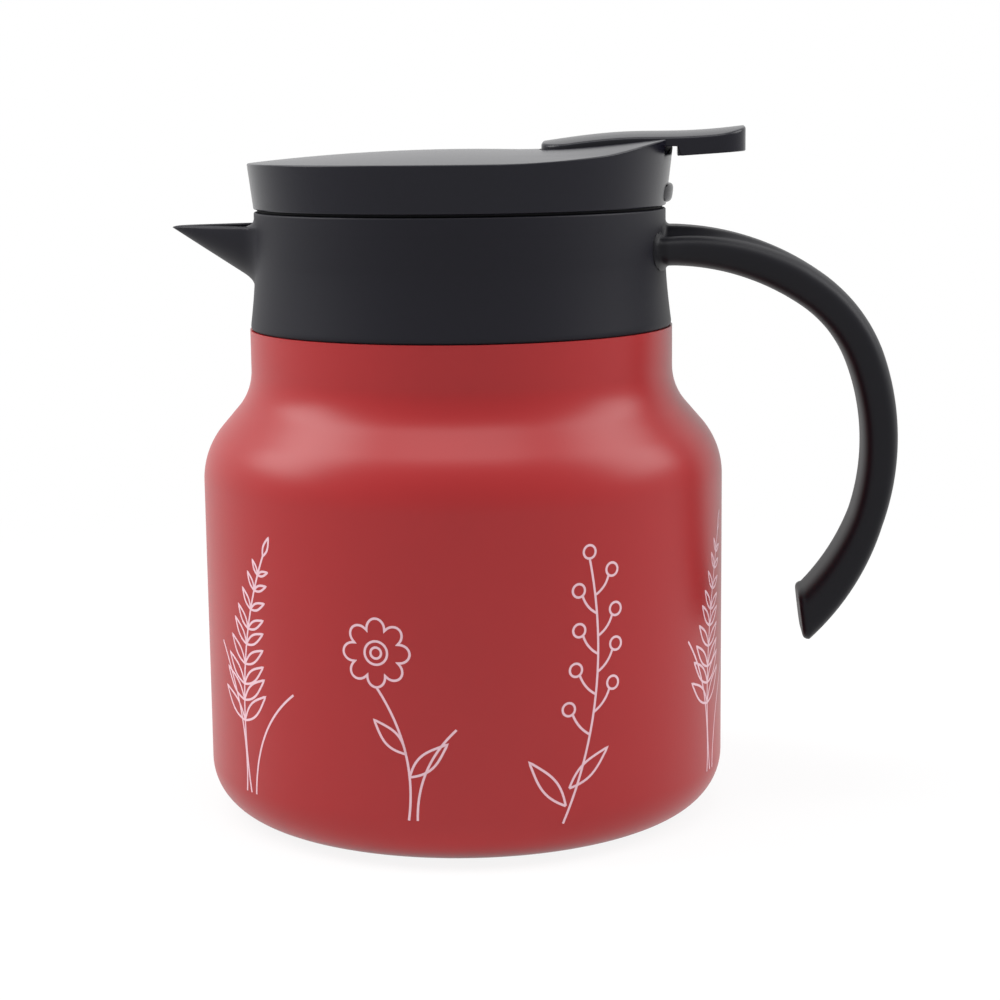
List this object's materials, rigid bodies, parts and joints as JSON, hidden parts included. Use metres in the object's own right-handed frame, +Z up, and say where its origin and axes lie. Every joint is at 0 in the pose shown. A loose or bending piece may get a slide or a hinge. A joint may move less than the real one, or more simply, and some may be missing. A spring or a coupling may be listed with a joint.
{
  "type": "insulated jug",
  "caption": "Round vacuum-insulated serving jug with a narrow collar, pointed spout, open loop handle and a turn-off lid whose thumb lever opens a pouring valve.",
  "frame": {"origin": "centre of the ring that the jug stands on, at table height on the jug's upright axis", "axes": "+Z up along the jug's axis, +X toward the handle and the thumb lever, -X toward the spout, +Y to the left of a person who faces +X"},
  "size_m": [0.1756, 0.126, 0.1642],
  "materials": {
    "red_coat": "satin powder coat",
    "base_steel": "brushed",
    "seal_bead": "matt",
    "liner_steel": "brushed",
    "foil": "bright foil",
    "getter_metal": "matt",
    "black_collar": "satin moulded",
    "seal_silicone": "matt",
    "black_handle": "satin moulded",
    "screw_steel": "bright",
    "gasket_silicone": "matt",
    "black_rubber": "matt",
    "black_cover": "satin moulded",
    "black_plug": "satin moulded",
    "black_deck": "matt moulded",
    "stem_silicone": "matt",
    "pin_steel": "bright",
    "black_lever": "satin moulded",
    "white_plastic": "natural",
    "cap_plastic": "natural",
    "disc_plastic": "satin moulded",
    "valve_silicone": "matt",
    "spring_steel": "bright"
  },
  "bodies": {
    "flask": {"outer_shell": "red_coat", "outer_base": "base_steel", "vacuum_seal": "seal_bead", "inner_liner": "liner_steel", "radiation_foil": "foil", "getter": "getter_metal", "collar": "black_collar", "collar_seal": "seal_silicone", "handle": "black_handle", "handle_screws": "screw_steel"},
    "lid_seals": {"lid_gasket": "gasket_silicone", "drip_seal": "black_rubber"},
    "lid": {"lid_cover": "black_cover", "lid_plug": "black_plug", "lid_deck": "black_deck", "stem_seal": "stem_silicone", "lever_pin": "pin_steel"},
    "lever": {"lever": "black_lever"},
    "valve": {"valve_stem": "white_plastic", "stem_cap": "cap_plastic", "valve_disc": "disc_plastic", "valve_gasket": "valve_silicone", "valve_spring": "spring_steel"}
  },
  "joints": [
    {"name": "lid_lift", "type": "slide", "parent": "flask", "child": "lid_seals", "axis": [0, 0, 1], "range_m": [0, 0.08]},
    {"name": "lid_turn", "type": "hinge", "parent": "lid_seals", "child": "lid", "pos_m": [0, 0, 0.14598], "axis": [0, 0, 1], "range_deg": [0, 90]},
    {"name": "lever_press", "type": "hinge", "parent": "lid", "child": "lever", "pos_m": [0.04, 0, 0.15598], "axis": [0, 1, 0], "range_deg": [0, 7], "stiffness_Nm_per_rad": 0.6, "springref_deg": -5.73},
    {"name": "valve_rise", "type": "slide", "parent": "lid", "child": "valve", "axis": [0, 0, 1], "range_m": [0, 0.005], "deforming": ["valve_spring"]}
  ],
  "couplings": [
    {"joint": "valve_rise", "follows": "lever_press", "m_per_rad": 0.04}
  ]
}
